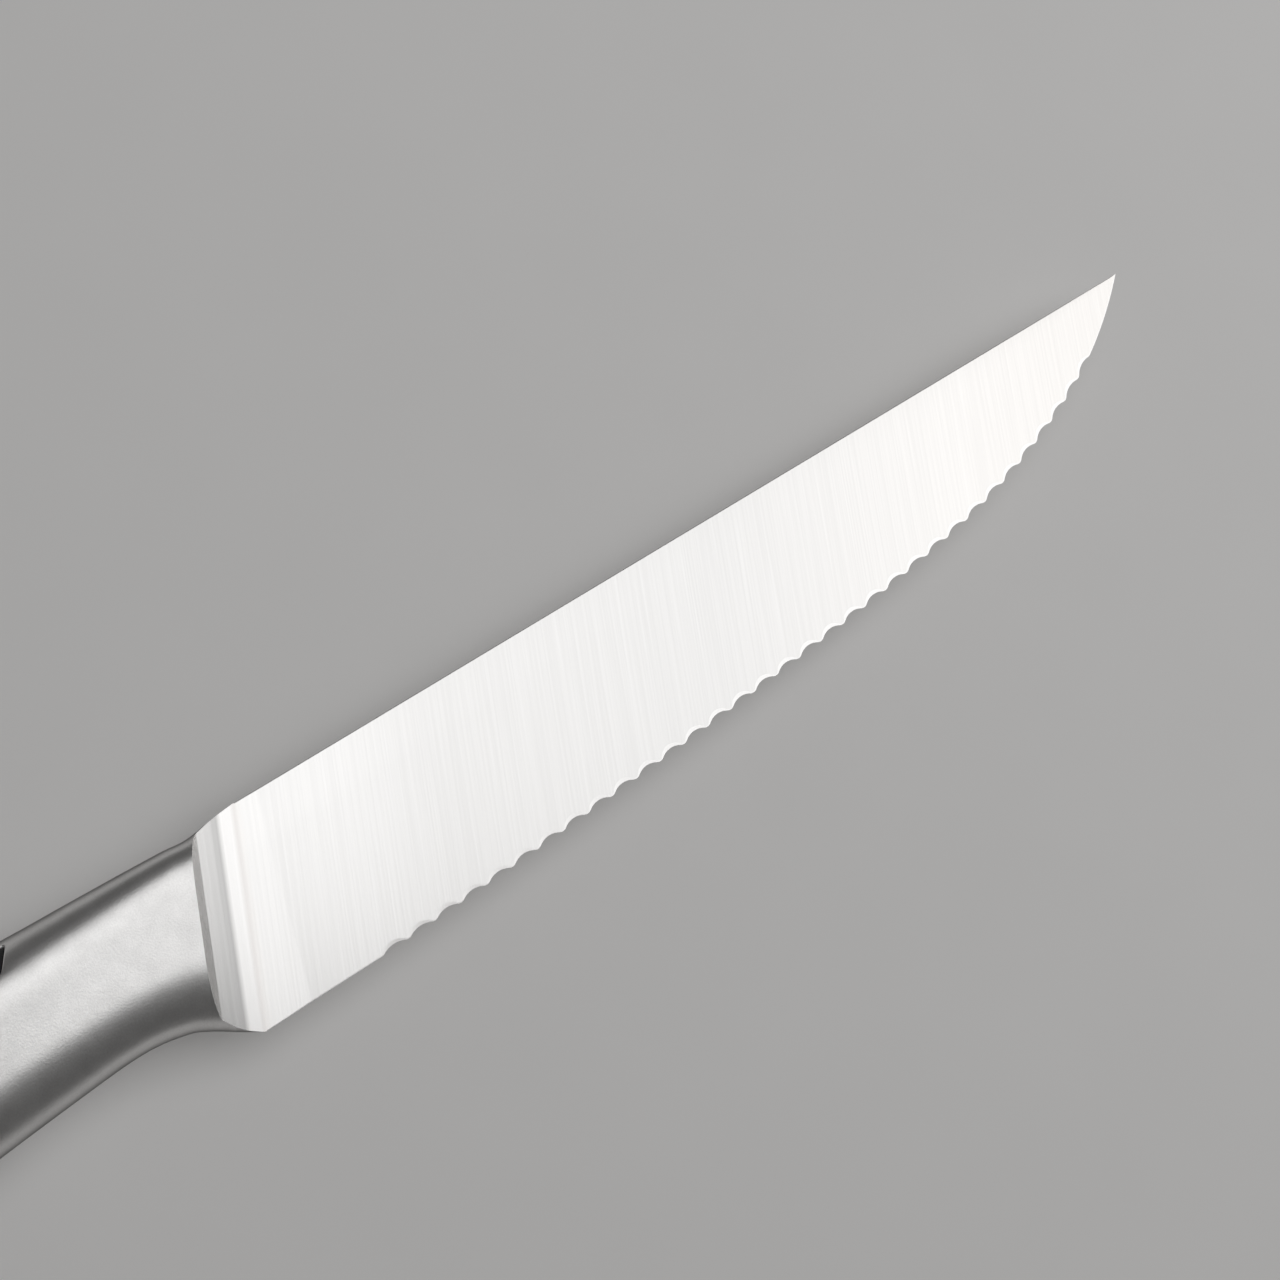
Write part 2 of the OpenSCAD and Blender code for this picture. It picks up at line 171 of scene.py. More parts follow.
def ground_height(x, y):
    """Half thickness that the grinding leaves at a place on the blade."""
    side = (
        SPINE_HALF
        - (SPINE_HALF - TIP_HALF) * x / BLADE_LENGTH
        + (SPINE_HALF - EDGE_HALF) * y / BLADE_HEIGHT
    )
    s = rake_place(x, y)
    hollow = np.where(s > PLUNGE_AT[-1], 0, np.interp(s, PLUNGE_AT, PLUNGE_Z))
    return np.maximum(side, hollow)


def place_in_frame(points):
    """Takes millimetres from the spine's end to metres in the part's own frame."""
    crown = ribs(CROWN_RIB)[0][1]
    shift = [(HANDLE_LENGTH - BLADE_LENGTH) / 2, (BLADE_HEIGHT - crown) / 2, HANDLE_THICKNESS / 2]
    return (np.asarray(points, float) + shift) * 0.001


# Points closer than this are one, in metres, and so are the ends of a shorter edge
SAME_POINT = 1e-6
NO_LENGTH = 1e-7


def mesh_piece(name, points, faces, kinds, materials, crease):
    """Builds one piece from points in millimetres. Edges sharper than crease in degrees, or where the
    finish changes, are left hard."""
    mesh = bpy.data.meshes.new(name)
    mesh.from_pydata(place_in_frame(points).tolist(), [], faces)
    mesh.polygons.foreach_set("material_index", kinds)
    mesh.polygons.foreach_set("use_smooth", [True] * len(faces))
    piece = bpy.data.objects.new(name, mesh)
    bpy.context.scene.collection.objects.link(piece)
    for material in materials:
        mesh.materials.append(material)
    bm = bmesh.new()
    bm.from_mesh(mesh)
    bmesh.ops.remove_doubles(bm, verts=bm.verts, dist=SAME_POINT)
    bmesh.ops.dissolve_degenerate(bm, dist=NO_LENGTH, edges=bm.edges)
    bmesh.ops.recalc_face_normals(bm, faces=bm.faces)
    for edge in bm.edges:
        finishes = {face.material_index for face in edge.link_faces}
        edge.smooth = len(finishes) == 1 and edge.calc_face_angle(0) < math.radians(crease)
    bm.to_mesh(mesh)
    bm.free()
    return piece


def loft(rings, kind_of):
    """Faces between successive closed rings of points and over both ends, with their materials."""
    count = len(rings[0])
    faces = []
    kinds = []
    for i in range(len(rings) - 1):
        for j in range(count):
            a = i * count + j
            b = i * count + (j + 1) % count
            faces.append((a, b, b + count, a + count))
            kinds.append(kind_of(i, j))
    last = (len(rings) - 1) * count
    faces += [tuple(range(count)), tuple(range(last, last + count))]
    kinds += [kind_of(0, 0), kind_of(len(rings) - 2, 0)]
    return faces, kinds


# Points of a ring from the spine over one side to the edge: a shoulder, a ground face and a bevel
SHOULDER = 7
FACE = 4
EDGE_POINT = 2 * SHOULDER + FACE
# Numbers of the blade's materials
GROUND, BLASTED, HONED = 0, 1, 2
# Rounds that settle where a bevel starts, and the least length of a section
BEVEL_ROUNDS = 5
LEAST_LENGTH = 1e-9


def closed_ring(top, right, bottom, left):
    """One ring from the spine down the right side, and up the left one again."""
    return np.vstack([[top], right, [bottom], left[::-1]])


def bolster_ring(u):
    """Section of the bolster: rounded shoulders with the wheels' flats between them."""
    top, foot, half, squares, lean = ribs(u)
    cut = float(np.interp(rake_place(*top), PLUNGE_AT, PLUNGE_Z))
    share = min(1.0, cut / float(half))
    turned = np.degrees(np.arccos(share ** (squares / 2)))
    edges = (90 - SIDE_FLAT_ANGLE) * (1 - turned / 90)
    steps = np.arange(1, SHOULDER + 1) / SHOULDER
    rows = np.full(SHOULDER, float(u))
    shoulder = section(rows, edges[0] * steps)
    hip = section(rows, 180 - edges[1] * steps[::-1])
    steps = np.arange(1, FACE)[:, None] / FACE
    right = np.vstack([shoulder, shoulder[-1] + (hip[0] - shoulder[-1]) * steps, hip])
    return closed_ring(section(float(u), 0.0), right, section(float(u), 180.0), right * [1, 1, -1])


HEEL = ribs(0.0)[1]
FIRST_TOOTH = np.array([HEEL[0] + HEEL_PLAIN, -BLADE_HEIGHT])
EDGE_ROWS = np.vstack([FIRST_TOOTH, np.array(EDGE_SHARES) * [BLADE_LENGTH, -BLADE_HEIGHT]])
EDGE_POINTS = flow(EDGE_ROWS, np.linspace(0, len(EDGE_ROWS) - 1, EDGE_STEPS * (len(EDGE_ROWS) - 1) + 1))
EDGE_RUNS = np.append(0, np.cumsum(np.linalg.norm(np.diff(EDGE_POINTS, axis=0), axis=1)))
SCALLOPS = int((EDGE_RUNS[-1] - TIP_PLAIN) / SCALLOP_PITCH)


def edge_at(run):
    """Place on the edge at a distance along it from the first scallop."""
    return np.array([np.interp(run, EDGE_RUNS, EDGE_POINTS[:, k]) for k in range(2)])


def across_from(run):
    """The spine's point square across from a place on the edge, and that place."""
    base = edge_at(run)
    ahead = edge_at(min(run + SCALLOP_PITCH / 2, EDGE_RUNS[-1]))
    tangent = ahead - edge_at(max(run - SCALLOP_PITCH / 2, 0))
    normal = np.array([-tangent[1], tangent[0]])
    return base - normal * base[1] / normal[1], base


def ground_ring(top, base, offset=0.0, depth=0.0, run_out=1.0):
    """Section of the ground blade from the spine to the edge. Offset and depth give its place in a
    scallop, and run_out shortens the main bevel where that starts at the heel."""
    length = float(np.linalg.norm(top - base))
    inward = (top - base) / max(length, LEAST_LENGTH)
    half_pitch = SCALLOP_PITCH / 2
    reach = (half_pitch ** 2 + depth ** 2) / (2 * depth) if depth else 0.0
    hollow = reach - CREST_ROUND
    to_crest = half_pitch - abs(offset)

    def bevel_at(q):
        if not depth:
            return q
        if q < CREST_ROUND and to_crest * (reach - depth) < half_pitch * (CREST_ROUND - q):
            return CREST_ROUND - math.hypot(to_crest, CREST_ROUND - q)
        return math.hypot(offset, q + hollow - depth) - hollow

    def place_of(bevel):
        if not depth:
            return bevel
        if bevel < CREST_ROUND and to_crest * reach < half_pitch * (CREST_ROUND - bevel):
            return CREST_ROUND - math.sqrt((CREST_ROUND - bevel) ** 2 - to_crest ** 2)
        return math.sqrt(max((hollow + bevel) ** 2 - offset ** 2, 0)) - hollow + depth

    def height(q):
        return float(ground_height(*(base + inward * q)))

    edge_q = max(0.0, place_of(0.0))
    level = height(0.0) - FRONT_BEVEL_DEPTH
    halves = []
    spine_z = []
    starts = []
    for slope, facing, ease in ((FRONT_BEVEL, 1, 1.0), (BACK_BEVEL, -1, run_out)):
        start = 0.0
        for _ in range(BEVEL_ROUNDS):
            start = place_of((height(start) - facing * level) / slope)
        starts.append(min(start * ease, length))
        spine_z.append(min(height(length), facing * level + slope / ease * bevel_at(length)))
    curve = min(SPINE_ROUND, sum(spine_z) / 4, length / 4)
    turn = np.linspace(0, math.pi / 2, SHOULDER)
    for slope, facing, ease, start, z_top in zip(
        (FRONT_BEVEL, BACK_BEVEL), (1, -1), (1.0, run_out), starts, spine_z
    ):
        start = min(start, length - curve)
        steps = np.arange(1, FACE) / FACE
        face = length - curve + (start - length + curve) * steps
        bevel = np.linspace(start, min(edge_q, start), SHOULDER)
        q = np.concatenate([length - curve + curve * np.cos(turn), face, bevel])
        z = list(z_top - curve + curve * np.sin(turn))
        for at in q[SHOULDER:]:
            z.append(min(height(at), facing * level + slope / ease * bevel_at(at)))
        points = base + inward * q[:, None]
        halves.append(np.column_stack([points, facing * np.array(z)]))
    crown_z = (spine_z[0] - spine_z[1]) / 2
    edge = base + inward * edge_q
    return closed_ring([*top, crown_z], halves[0], [*edge, level], halves[1])


# Places of the sections, closer together where the surface turns: as shares over half a scallop, in
# millimetres in the hollow and past the heel's plane, and as shares along the heel and the point
HALF_SCALLOP = np.array([0.22, 0.42, 0.58, 0.7, 0.78, 0.85, 0.91, 0.96])
HOLLOW_STEPS = (0, 0.04, 0.1, 0.18, 0.28, 0.4, 0.54, 0.68)
FOOT_STEPS = (0.12, 0.3)
HEEL_SHARES = (0, 0.02, 0.08, 0.2, 0.4, 0.6, 0.8, 0.93)
POINT_SHARES = [0, 0.01] + list(np.linspace(0.04, 0.96, 28)) + [0.985, 0.9995]
# Rows among which a section's place on the bolster is looked up, and how sharp the tang's corners are
BOLSTER_ROWS = 400
TANG_CORNER = 0.06


def scallop_rings():
    """Sections through the scallops, each as deep as its place along the edge asks."""
    shares = np.concatenate([[-1], -HALF_SCALLOP[::-1], [0], HALF_SCALLOP])
    rings = []
    for i in range(SCALLOPS):
        depth = SCALLOP_DEPTH * float(np.interp(i / (SCALLOPS - 1), *zip(*DEPTH_SHARES)))
        for offset in shares * SCALLOP_PITCH / 2:
            rings.append(ground_ring(*across_from((i + 0.5) * SCALLOP_PITCH + offset), offset, depth))
    return rings


def blade_rings():
    """Sections from the tang's end to the point, with the numbers of the first ground one and of the
    one at the heel's plane."""
    upper = np.linspace(0, 90 - SIDE_FLAT_ANGLE, SHOULDER + 1)[1:]
    face = np.linspace(90 - SIDE_FLAT_ANGLE, 90 + SIDE_FLAT_ANGLE, FACE + 1)[1:-1]
    half_loop = np.concatenate([upper, face, 180 - upper[::-1]])
    loop = np.concatenate([[0], half_loop, [180], -half_loop[::-1]])
    joint_top, joint_foot = ribs(float(JOINT_RIB))[:2]
    middle = (joint_top + joint_foot) / 2
    behind = JOINT_RIB + SPIGOT_LENGTH / (joint_top[0] - ribs(JOINT_RIB + 1.0)[0][0])
    spigot = [section(np.full(len(loop), u), loop, SHELL_WALL + FIT_GAP) for u in (behind, JOINT_RIB)]
    cos, sin = np.cos(np.radians(loop)), np.sin(np.radians(loop))
    tang_y = middle[1] + TANG_WIDTH / 2 * np.sign(cos) * np.abs(cos) ** TANG_CORNER
    tang_z = TANG_THICKNESS / 2 * np.sign(sin) * np.abs(sin) ** TANG_CORNER
    tang_end = np.full(len(loop), middle[0] - TANG_LENGTH)
    tang_root = spigot[0][:, 0].mean() + (tang_y - middle[1]) * math.tan(GRIND_RAKE)
    rings = [np.column_stack([x, tang_y, tang_z]) for x in (tang_end, tang_root)] + spigot
    rows = np.linspace(JOINT_RIB, 0, BOLSTER_ROWS)
    places = rake_place(*ribs(rows)[0].T)
    hard, *lines = [at for at in PLUNGE_AT[1:] if at < 0]
    wanted = [places[0]] + [hard + step for step in HOLLOW_STEPS]
    wanted += [line + side for line in lines for side in (-LINE_ROUND, LINE_ROUND)] + [0.0]
    first_ground = len(rings) + 1
    rings += [bolster_ring(np.interp(s, places, rows)) for s in wanted]
    heel_ring = len(rings) - 1
    across = np.array([1 / math.cos(GRIND_RAKE), 0])
    line = PLUNGE_AT[-3]
    for s in (*FOOT_STEPS, line - LINE_ROUND, line + LINE_ROUND):
        rings.append(ground_ring(across * s, HEEL + across * s, run_out=min(1, math.sqrt(s / HEEL_FADE))))
    flat_top = across * PLUNGE_LEAD
    flat_base = HEEL + across * PLUNGE_AT[-1]
    tooth_top = across_from(0.0)[0]
    for share in HEEL_SHARES:
        top = flat_top + (tooth_top - flat_top) * share
        base = flat_base + (FIRST_TOOTH - flat_base) * share
        rings.append(ground_ring(top, base))
    rings += scallop_rings()
    plain_from = SCALLOPS * SCALLOP_PITCH
    for share in POINT_SHARES:
        rings.append(ground_ring(*across_from(plain_from + (EDGE_RUNS[-1] - plain_from) * share)))
    return rings, first_ground, heel_ring


def shade(code):
    """Linear colour from an sRGB hex code."""
    parts = [int(code[i:i + 2], 16) / 255 for i in (1, 3, 5)]
    return [c / 12.92 if c <= 0.04045 else ((c + 0.055) / 1.055) ** 2.4 for c in parts] + [1.0]


def add(material, kind, inputs=None, **settings):
    """Adds one shader node, with its settings and with values or other nodes' outputs on its sockets."""
    node = material.node_tree.nodes.new(kind)
    for name, value in settings.items():
        setattr(node, name, value)
    for name, value in (inputs or {}).items():
        if isinstance(value, bpy.types.NodeSocket):
            material.node_tree.links.new(value, node.inputs[name])
        else:
            node.inputs[name].default_value = value
    return node


def named_material(name):
    """An empty material with its surface shader."""
    material = bpy.data.materials.new(name)
    material.use_nodes = True
    return material, material.node_tree.nodes["Principled BSDF"]


# Width, length and depth of the grinding lines, and of the few that shine
LINE_PITCH = 0.2
LINE_LENGTH = 26
LINE_DEPTH = 0.0001
STREAK_PITCH = 0.24
STREAK_LENGTH = 16
# Painted shade and highlight across the hollow, and a painted falloff of light along the blade, set as
# the steel's colour at millimetres past the heel's plane
PAINTED_LIGHT_STOPS = [
    [-7, "#FFFFFF"], [-4.5, "#FFFFFF"], [-4.2, "#F6F6F6"], [-3.1, "#EEEEEE"], [-2.8, "#DADADA"],
    [-2.1, "#CCCCCC"], [-1.85, "#CFCFCF"], [-1.7, "#FFFFFF"], [-0.4, "#FFFFFF"], [-0.1, "#F2F0EF"],
    [0.3, "#F6F5F4"], [0.8, "#FCFCFC"], [9, "#FCFCFC"], [22, "#F3F3F3"], [55, "#F0F0F0"],
    [85, "#FAF9F8"], [120, "#F9F7F5"],
]


def ground_stainless():
    """Satin stainless steel. The grinding wheel leaves fine lines that lean with the bolster and spread
    the light across them, and a few of them shine. Across the hollow, stripes of painted shade and
    painted highlight stand in for the light on its facets, and a painted falloff of light runs along
    the blade. The lines are drawn about three times their real width, to show."""
    material, surface = named_material("ground_stainless_steel")
    surface.inputs["Metallic"].default_value = 1.0
    surface.inputs["Roughness"].default_value = 0.27
    surface.inputs["Anisotropic"].default_value = 0.6
    across = {"X": math.cos(GRIND_RAKE), "Y": -math.sin(GRIND_RAKE), "Z": 0.0}
    grain_way = add(material, "ShaderNodeCombineXYZ", across).outputs["Vector"]
    material.node_tree.links.new(grain_way, surface.inputs["Tangent"])
    at = add(material, "ShaderNodeTexCoord").outputs["Object"]
    start = rake_place(*place_in_frame([0, 0, 0])[:2])
    turn = {"Vector": at, "Rotation": (0, 0, GRIND_RAKE), "Location": (-start, 0, 0)}
    leaning = add(material, "ShaderNodeMapping", turn).outputs["Vector"]
    pitch, length = 1000 / LINE_PITCH, 1000 / LINE_LENGTH
    stretch = {"Vector": leaning, "Scale": (pitch, length, length)}
    lines = add(material, "ShaderNodeMapping", stretch).outputs["Vector"]
    noise = {"Vector": lines, "Scale": 1.0, "Detail": 1.0, "Roughness": 0.5}
    grain = add(material, "ShaderNodeTexNoise", noise).outputs["Fac"]
    shine = add(material, "ShaderNodeValToRGB", {"Fac": grain})
    for stop, code in zip(shine.color_ramp.elements, ("#E9E8E7", "#EDECEB")):
        stop.color = shade(code)
    shine.color_ramp.elements[0].position = 0.34
    shine.color_ramp.elements[1].position = 0.66
    pitch, length = 1000 / STREAK_PITCH, 1000 / STREAK_LENGTH
    stretch = {"Vector": leaning, "Scale": (pitch, length, length)}
    sparse = add(material, "ShaderNodeMapping", stretch).outputs["Vector"]
    noise = {"Vector": sparse, "Scale": 1.0, "Detail": 1.0}
    streak = add(material, "ShaderNodeTexNoise", noise).outputs["Fac"]
    share = {"Value": streak, "From Min": 0.58, "From Max": 0.75, "To Max": 0.12}
    streak = add(material, "ShaderNodeMapRange", share).outputs["Result"]
    brighter = {"Fac": streak, "Color1": shine.outputs["Color"], "Color2": shade("#FFFFFF")}
    shine = add(material, "ShaderNodeMixRGB", brighter)
    # Painted light: this ramp paints shade and highlight across the hollow and a falloff of light along
    # the blade.
    place = add(material, "ShaderNodeSeparateXYZ", {"Vector": leaning}).outputs["X"]
    low, high = PAINTED_LIGHT_STOPS[0][0], PAINTED_LIGHT_STOPS[-1][0]
    share = {"Value": place, "From Min": low * 0.001, "From Max": high * 0.001}
    painted_light_place = add(material, "ShaderNodeMapRange", share).outputs["Result"]
    painted_light_ramp = add(material, "ShaderNodeValToRGB", {"Fac": painted_light_place})
    stops = painted_light_ramp.color_ramp.elements
    while len(stops) < len(PAINTED_LIGHT_STOPS):
        stops.new(0.5)
    for stop, (at_mm, code) in zip(stops, PAINTED_LIGHT_STOPS):
        stop.position = (at_mm - low) / (high - low)
        stop.color = shade(code)
    mixed = {"Fac": 1.0, "Color1": painted_light_ramp.outputs["Color"], "Color2": shine.outputs["Color"]}
    tone = add(material, "ShaderNodeMixRGB", mixed, blend_type="MULTIPLY").outputs["Color"]
    relief = {"Height": grain, "Strength": 1.0, "Distance": LINE_DEPTH * 0.001}
    bump = add(material, "ShaderNodeBump", relief).outputs["Normal"]
    material.node_tree.links.new(tone, surface.inputs["Base Color"])
    material.node_tree.links.new(bump, surface.inputs["Normal"])
    return material


# Width and depth of the dimples, and width of the patches
BEAD_WIDTH = 0.2
BEAD_DEPTH = 0.01
PATCH_WIDTH = 2


def blasted_stainless():
    """Bead-blasted stainless steel: even and soft, with faint cloudy patches where the jet passed
    twice. The beads' dimples are drawn about three times their real width. Seen at a low angle they
    shade each other, so the steel is tinted darker there."""
    material, surface = named_material("bead_blasted_stainless_steel")
    surface.inputs["Metallic"].default_value = 1.0
    surface.inputs["Roughness"].default_value = 0.34
    surface.inputs["Specular Tint"].default_value = shade("#4A4A4A")
    at = add(material, "ShaderNodeTexCoord").outputs["Object"]
    dimples = {"Vector": at, "Scale": 1000 / BEAD_WIDTH, "Detail": 2.0, "Roughness": 0.6}
    grain = add(material, "ShaderNodeTexNoise", dimples).outputs["Fac"]
    patches = {"Vector": at, "Scale": 1000 / PATCH_WIDTH, "Detail": 2.0, "Roughness": 0.5}
    cloud = add(material, "ShaderNodeTexNoise", patches).outputs["Fac"]
    parts = {"Fac": 0.5, "Color1": grain, "Color2": cloud}
    mixed = add(material, "ShaderNodeMixRGB", parts).outputs["Color"]
    ramp = add(material, "ShaderNodeValToRGB", {"Fac": mixed})
    ramp.color_ramp.elements[0].position = 0.35
    ramp.color_ramp.elements[0].color = shade("#E4E3E2")
    ramp.color_ramp.elements[1].position = 0.65
    ramp.color_ramp.elements[1].color = shade("#F3F2F1")
    relief = {"Height": grain, "Strength": 1.0, "Distance": BEAD_DEPTH * 0.001}
    bump = add(material, "ShaderNodeBump", relief).outputs["Normal"]
    material.node_tree.links.new(ramp.outputs["Color"], surface.inputs["Base Color"])
    material.node_tree.links.new(bump, surface.inputs["Normal"])
    return material


HONE_WIDTH = 0.1


def honed_stainless():
    """The narrow bevel on the right side is honed on a fine stone, so it is glossier than the ground
    side and shines as a thin bright line. Its scratches are too fine to see apart."""
    material, surface = named_material("honed_stainless_steel")
    surface.inputs["Metallic"].default_value = 1.0
    surface.inputs["Roughness"].default_value = 0.22
    at = add(material, "ShaderNodeTexCoord").outputs["Object"]
    scratches = {"Vector": at, "Scale": 1000 / HONE_WIDTH, "Detail": 2.0}
    grain = add(material, "ShaderNodeTexNoise", scratches).outputs["Fac"]
    ramp = add(material, "ShaderNodeValToRGB", {"Fac": grain})
    ramp.color_ramp.elements[0].color = shade("#E6E5E4")
    ramp.color_ramp.elements[1].color = shade("#EFEEED")
    material.node_tree.links.new(ramp.outputs["Color"], surface.inputs["Base Color"])
    return material


rings, first_ground, heel_ring = blade_rings()


def finish_of(i, j):
    """Finish between two rings: honed on the right side's bevel, ground on the sides, and blasted on
    the bolster's rounded shoulders and behind it."""
    if i >= heel_ring:
        return HONED if SHOULDER + FACE <= j < EDGE_POINT else GROUND
    flat = {SHOULDER + k for k in range(FACE)}
    flat |= {2 * EDGE_POINT - 1 - j for j in flat}
    return GROUND if i >= first_ground and j in flat else BLASTED


# Angle in degrees from which an edge looks hard
BLADE_CREASE = 18
faces, kinds = loft(rings, finish_of)
blasted_steel = blasted_stainless()
finishes = [ground_stainless(), blasted_steel, honed_stainless()]
blade = mesh_piece("ground_blade", np.vstack(rings), faces, kinds, finishes, BLADE_CREASE)
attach(blade, "root")
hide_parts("blade")


# Handle shells
# Two halves pressed from stainless sheet, welded along the spine and the belly and on to the
# bolster, then ground flush and blasted. Two grooves are pressed into the shoulders of each.
GROOVE_RIBS = [6, 12]
GROOVE_DEPTH = 0.7
STRIP_LOW_ANGLE = 26.2
STRIP_HIGH_ANGLE = 56.5
STRIP_MIDDLE = (STRIP_LOW_ANGLE + STRIP_HIGH_ANGLE) / 2
SPINE_CORNER = 0.4
SIDE_CORNER = 0.8
CORNER_STEPS = [0.1, 0.22, 0.4, 0.58, SIDE_CORNER]
WARP_FADE = 1.5
# Most degrees that the columns beside a groove spread where the handle is thin
LIP_SPREAD = 13
# Depth of the steel's surface below the handle's skin at distances from a groove's outline
LIP = [[-0.16, 0], [-0.06, 0.02], [0, 0.09], [0.03, GROOVE_DEPTH]]
CAVITY_LIP = [[-1.4, SHELL_WALL], [-0.7, SHELL_WALL + GROOVE_DEPTH]]
# The cavity's rows reach this share of the way from the grooves' end to the butt
CAVITY_SHARE = 0.625
BUTT_INSETS = [0.2, 0.5]
# Columns of points over the spine and over the side, in degrees from the spine
CROWN_COLUMNS = (0, 2.5, 5, 8, 11, 14, 17, 20, 23)
SIDE_COLUMNS = (60, 63, 66, 69, 72, 75, 78, 81, 84, 87)
# Rows of points, in ribs: their step, the first one past a groove's end, and their number at the butt
ROW_STEP = 0.2
PAST_END = 0.3
BUTT_ROWS = 20
MIDDLE_ROWS = list(np.arange(GROOVE_RIBS[0] + PAST_END, GROOVE_RIBS[1] - ROW_STEP, ROW_STEP))
SHELL_CREASE = 40


def rib_mm(u):
    """Millimetres along the handle for one rib."""
    return float(np.linalg.norm(section(u + 0.05, STRIP_MIDDLE) - section(u - 0.05, STRIP_MIDDLE))) * 10


def angle_mm(u):
    """Millimetres round the handle for one degree, in the middle of a strip."""
    step = section(u, STRIP_MIDDLE + 0.5) - section(u, STRIP_MIDDLE - 0.5)
    return np.linalg.norm(step, axis=-1)


END_MM = [rib_mm(u) for u in GROOVE_RIBS]


def rows_near(end, distances):
    """Rib numbers at distances inside one end of the grooves."""
    inward = 1 if end == 0 else -1
    return [GROOVE_RIBS[end] + inward * d / END_MM[end] for d in distances]


def rounded(p, q, radius):
    """Moves points at distances p and q inside an end and a side, so that their corner comes round."""
    a = (radius - p) / radius
    b = (radius - q) / radius
    near = (a > 0) & (b > 0)
    a_in, b_in = np.clip(a, 0, 1), np.clip(b, 0, 1)
    fade = np.clip(1 - (a - a_in) / WARP_FADE, 0, 1) * np.clip(1 - (b - b_in) / WARP_FADE, 0, 1)
    p_more = radius * a_in * (1 - np.sqrt(1 - b_in ** 2 / 2)) * fade
    q_more = radius * b_in * (1 - np.sqrt(1 - a_in ** 2 / 2)) * fade
    return np.where(near, p_more, 0), np.where(near, q_more, 0)


def grooved_grid(rows, columns, gap):
    """Rib numbers, angles and distances inside the outline of a groove narrowed by gap, on a grid.
    A column is an angle from the spine and a distance in mm past it."""
    u = np.repeat(np.array(rows)[:, None], len(columns), axis=1)
    base, past_base = np.array(columns, float).T
    degree = np.maximum(angle_mm(u), SIDE_CORNER / LIP_SPREAD)
    angle = base + past_base / degree
    pole = np.minimum(angle, 180 - angle)
    low = pole < STRIP_MIDDLE
    q = np.where(low, pole - STRIP_LOW_ANGLE, STRIP_HIGH_ANGLE - pole) * degree - gap
    start = u < sum(GROOVE_RIBS) / 2
    p = np.where(start, (u - GROOVE_RIBS[0]) * END_MM[0], (GROOVE_RIBS[1] - u) * END_MM[1]) - gap
    p_more, q_more = rounded(p, q, np.where(low, SPINE_CORNER, SIDE_CORNER) - gap)
    u = u + np.where(start, p_more / END_MM[0], -p_more / END_MM[1])
    outward = np.where(low, 1, -1) * np.where(angle < 90, 1, -1)
    return u, angle + outward * q_more / degree, np.minimum(p, q)


def upper_columns(lip):
    """Columns across the upper strip, from one side of its outline to the other."""
    steps = lip + CORNER_STEPS
    columns = [(STRIP_LOW_ANGLE, d) for d in steps] + [(STRIP_MIDDLE, 0)]
    return columns + [(STRIP_HIGH_ANGLE, -d) for d in reversed(steps)]


def mirrored(columns):
    """The same columns below the middle of the side."""
    return [(180 - angle, -d) for angle, d in reversed(columns)]


def grid_faces(rows, columns, first, flip=False):
    """Faces of a grid of points whose first one has the number first."""
    faces = []
    for i in range(rows - 1):
        for j in range(columns - 1):
            a = first + i * columns + j
            quad = (a, a + 1, a + columns + 1, a + columns)
            faces.append(quad[::-1] if flip else quad)
    return faces


def shell_mesh():
    """Points and faces of the right half shell: its skin, its cavity and the rims between them."""
    lip = [d for d, depth in LIP]
    crown = [(angle, 0) for angle in CROWN_COLUMNS]
    side = [(angle, 0) for angle in SIDE_COLUMNS]
    upper = crown + upper_columns(lip) + side
    columns = upper + [(90, 0)] + mirrored(upper)
    ends = [rows_near(end, lip + CORNER_STEPS) for end in (0, 1)]
    rows = list(np.arange(JOINT_RIB, GROOVE_RIBS[0] - ROW_STEP / 2, ROW_STEP)) + ends[0]
    rows += MIDDLE_ROWS + ends[1][::-1]
    rows += list(np.linspace(GROOVE_RIBS[1] + ROW_STEP, BUTT_RIB, BUTT_ROWS))
    u, angle, inside = grooved_grid(rows, columns, 0.0)
    skin = section(u, angle, np.interp(inside, *zip(*LIP)))
    butt = [section(u[-1], angle[-1], inset) for inset in BUTT_INSETS]
    skin = np.concatenate([skin, np.array(butt)])
    deep = np.minimum(u, GROOVE_RIBS[1] + (u - GROOVE_RIBS[1]) * CAVITY_SHARE)
    cavity = section(deep, angle, np.interp(inside, *zip(*CAVITY_LIP)))
    cavity = np.concatenate([cavity, np.repeat(cavity[-1:], len(butt), axis=0)])
    m, n = skin.shape[:2]
    k = m * n
    faces = grid_faces(m, n, 0) + grid_faces(m, n, k, flip=True)
    for j in range(n - 1):
        faces.append((j, k + j, k + j + 1, j + 1))
    for i in range(m - 1):
        a, b = i * n, (i + 1) * n
        faces.append((a, b, k + b, k + a))
        faces.append((a + n - 1, k + a + n - 1, k + b + n - 1, b + n - 1))
    end = (m - 1) * n
    faces.append(tuple(range(end, end + n)))
    faces.append(tuple(range(k + end + n - 1, k + end - 1, -1)))
    faces.append((end, end + n - 1, k + end + n - 1, k + end))
    return np.concatenate([skin.reshape(-1, 3), cavity.reshape(-1, 3)]), faces


shell_points, shell_faces = shell_mesh()
for side, facing in (("right", 1), ("left", -1)):
    points = shell_points * [1, 1, facing]
    kinds = [0] * len(shell_faces)
    shell = mesh_piece("pressed_shell_" + side, points, shell_faces, kinds, [blasted_steel], SHELL_CREASE)
    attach(shell, "root")
    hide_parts("handle_shell_" + side)


# Grip strips
# Four strips moulded from black polyamide, glued into the grooves and sitting a little below the
# steel. Their fine matt texture hides scratches and gives the fingers hold.
STRIP_RECESS = 0.12
# Depth of the strip's surface below the handle's skin at distances from its outline
STRIP_EDGE = [[0, STRIP_RECESS + 0.1], [0.03, STRIP_RECESS + 0.03], [0.1, STRIP_RECESS]]
STRIP_CREASE = 40
GRAIN_WIDTH = 0.3
GRAIN_DEPTH = 0.006


